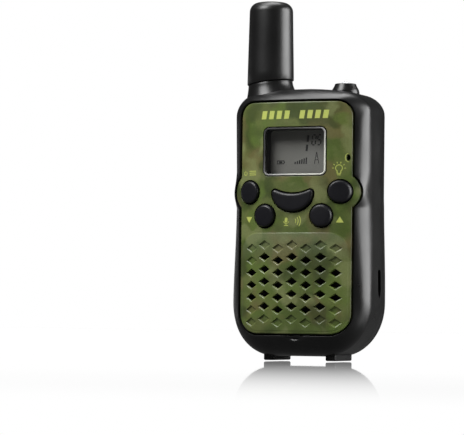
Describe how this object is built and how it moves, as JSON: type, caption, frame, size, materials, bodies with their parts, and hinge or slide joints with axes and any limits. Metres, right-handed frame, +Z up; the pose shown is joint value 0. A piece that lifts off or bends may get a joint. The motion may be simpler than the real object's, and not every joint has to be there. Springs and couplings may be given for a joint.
{
  "type": "toy walkie talkie",
  "caption": "Hand-held toy two-way radio: black shell, camouflage faceplate, display, round keys, talk key, speaker grille, stub antenna, lamp and belt clip.",
  "frame": {"origin": "middle of the bounding box in X and Y, on the underside of the feet", "axes": "+Z up towards the antenna tip, -Y out of the faceplate, +X to the right as seen from the front"},
  "size_m": [0.0596, 0.041, 0.1453],
  "materials": {
    "housing": "fine spark-eroded matte black",
    "camouflage": "woodland camouflage film under satin clear coat",
    "keys": "matt black moulded rubber",
    "antenna": "fine matte black soft plastic",
    "black_inner": "smooth black",
    "window": "clear acrylic",
    "display": "unlit grey liquid crystal",
    "light_guide": "white",
    "board": "green solder mask",
    "tinned": "tinned sheet",
    "steel": "zinc plated",
    "brass": "drawn wire",
    "ferrite": "black coated",
    "paper": "black paper and dust cloth",
    "lamp": "water-clear lens",
    "cell": "plain printed sleeve"
  },
  "bodies": {
    "radio": {"antenna_coil": "brass", "antenna_collar": "housing", "antenna_core": "light_guide", "antenna_sleeve": "antenna", "audio_amp_chip": "black_inner", "battery_cell_1": "cell", "battery_cell_2": "cell", "battery_cell_3": "cell", "battery_cell_4": "cell", "battery_spring_1": "steel", "battery_spring_2": "steel", "battery_spring_3": "steel", "battery_spring_4": "steel", "capacitor_left": "ferrite", "capacitor_right": "ferrite", "clip_bracket": "housing", "clip_pin": "steel", "clip_spring": "steel", "contact_bottom_1": "tinned", "contact_bottom_2": "tinned", "contact_bottom_3": "tinned", "contact_top_1": "tinned", "contact_top_2": "tinned", "controller_chip": "black_inner", "crystal_can": "tinned", "faceplate": "camouflage", "foot_left": "antenna", "foot_right": "antenna", "front_housing": "housing", "housing_screw_1": "steel", "housing_screw_2": "steel", "housing_screw_3": "steel", "housing_screw_4": "steel", "keypad_membrane": "keys", "lcd_backlight": "light_guide", "lcd_connector": "keys", "lcd_frame": "black_inner", "lcd_panel": "display", "lcd_window": "window", "main_pcb": "board", "mic_boot": "keys", "mic_capsule": "tinned", "rear_housing": "housing", "rf_shield_can": "tinned", "speaker_cone": "paper", "speaker_frame": "steel", "speaker_gasket": "keys", "speaker_magnet": "ferrite", "speaker_mesh": "paper", "torch_bezel": "housing", "torch_led": "lamp"},
    "menu_key": {"menu_key": "keys"},
    "light_key": {"light_key": "keys"},
    "down_key": {"down_key": "keys"},
    "up_key": {"up_key": "keys"},
    "talk_key": {"ptt_key": "keys"},
    "belt_clip": {"clip_arm": "housing"},
    "battery_door": {"battery_cover": "housing"}
  },
  "joints": [
    {"name": "menu_key_press", "type": "slide", "parent": "radio", "child": "menu_key", "axis": [0, 1, 0], "range_m": [0, 0.001], "stiffness_N_per_m": 800},
    {"name": "light_key_press", "type": "slide", "parent": "radio", "child": "light_key", "axis": [0, 1, 0], "range_m": [0, 0.001], "stiffness_N_per_m": 800},
    {"name": "down_key_press", "type": "slide", "parent": "radio", "child": "down_key", "axis": [0, 1, 0], "range_m": [0, 0.001], "stiffness_N_per_m": 800},
    {"name": "up_key_press", "type": "slide", "parent": "radio", "child": "up_key", "axis": [0, 1, 0], "range_m": [0, 0.001], "stiffness_N_per_m": 800},
    {"name": "talk_key_press", "type": "slide", "parent": "radio", "child": "talk_key", "axis": [0, 1, 0], "range_m": [0, 0.001], "stiffness_N_per_m": 800},
    {"name": "belt_clip_hinge", "type": "hinge", "parent": "radio", "child": "belt_clip", "pos_m": [0, 0.01575, 0.094], "axis": [1, 0, 0], "range_deg": [0, 18], "stiffness_Nm_per_rad": 0.3, "springref_deg": -8.59},
    {"name": "battery_door_hinge", "type": "hinge", "parent": "radio", "child": "battery_door", "pos_m": [0, 0.01275, 0.0615], "axis": [1, 0, 0], "range_deg": [0, 70]}
  ]
}
